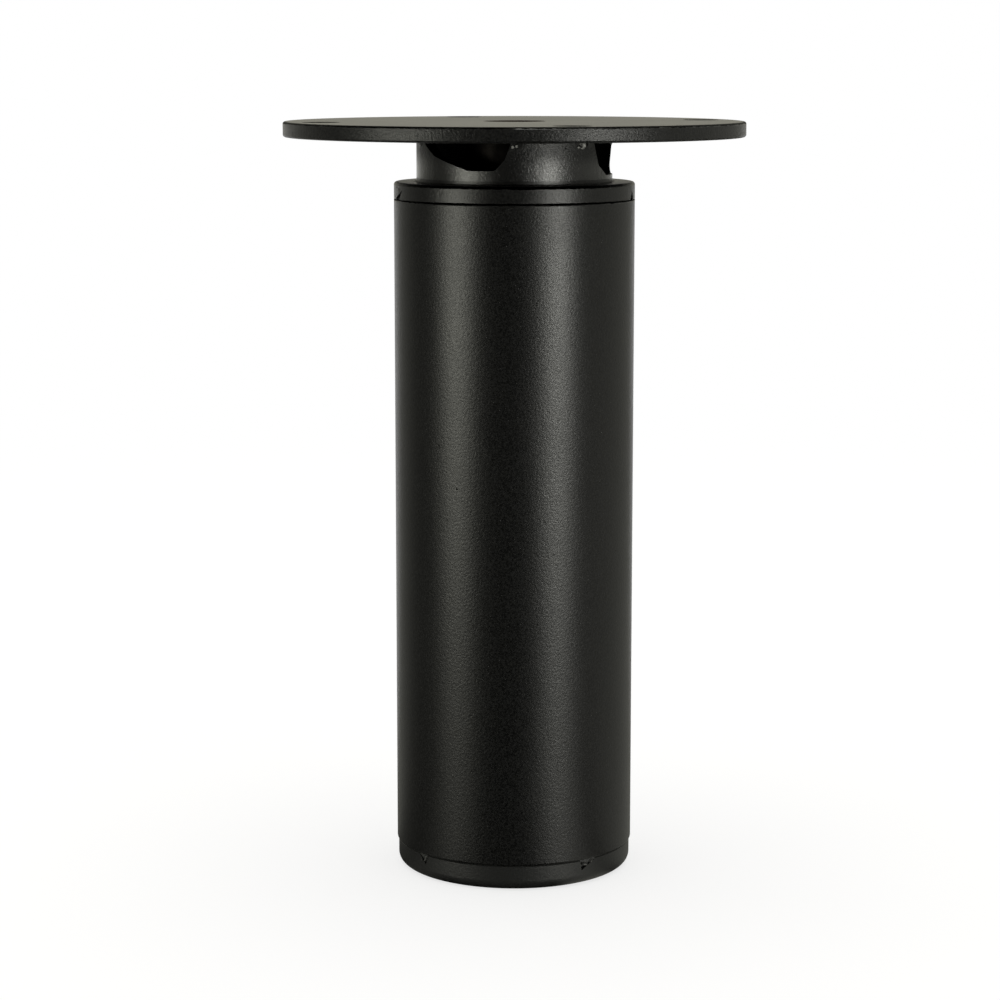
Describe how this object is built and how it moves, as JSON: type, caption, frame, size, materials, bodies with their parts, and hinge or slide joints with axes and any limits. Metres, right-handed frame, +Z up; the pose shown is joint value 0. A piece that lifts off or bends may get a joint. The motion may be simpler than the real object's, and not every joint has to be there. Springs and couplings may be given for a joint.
{
  "type": "adjustable cabinet leg",
  "caption": "Round cabinet leg: a tube with moulded end fittings and a sliding neck under a drilled round plate, set to height by a captive screw turned from above.",
  "frame": {"origin": "centre of the foot's floor face, on the leg's axis", "axes": "+Z up along the leg's axis to the mounting plate; -Y is the side that the picture shows"},
  "size_m": [0.0612, 0.0612, 0.1007],
  "materials": {
    "powder_coat": "satin black powder coat",
    "black_nylon": "satin",
    "blackened_steel": "black oxide with a brown cast",
    "zinc_steel": "bright zinc"
  },
  "bodies": {
    "leg": {"leg_tube": "powder_coat", "top_bush": "black_nylon", "bush_nut": "zinc_steel", "foot_cap": "black_nylon"},
    "plate": {"mounting_plate": "powder_coat", "neck_tube": "powder_coat", "keeper_disc": "powder_coat"},
    "screw": {"adjusting_screw": "blackened_steel"}
  },
  "joints": [
    {"name": "height_slide", "type": "slide", "parent": "leg", "child": "plate", "axis": [0, 0, 1], "range_m": [-0.0045, 0.0055]},
    {"name": "screw_turn", "type": "hinge", "parent": "plate", "child": "screw", "pos_m": [0, 0, 0.09465], "axis": [0, 0, 1], "range_deg": [-1296.1, 1584.1]}
  ],
  "couplings": [
    {"joint": "screw_turn", "follows": "height_slide", "rad_per_m": 5026.5}
  ]
}
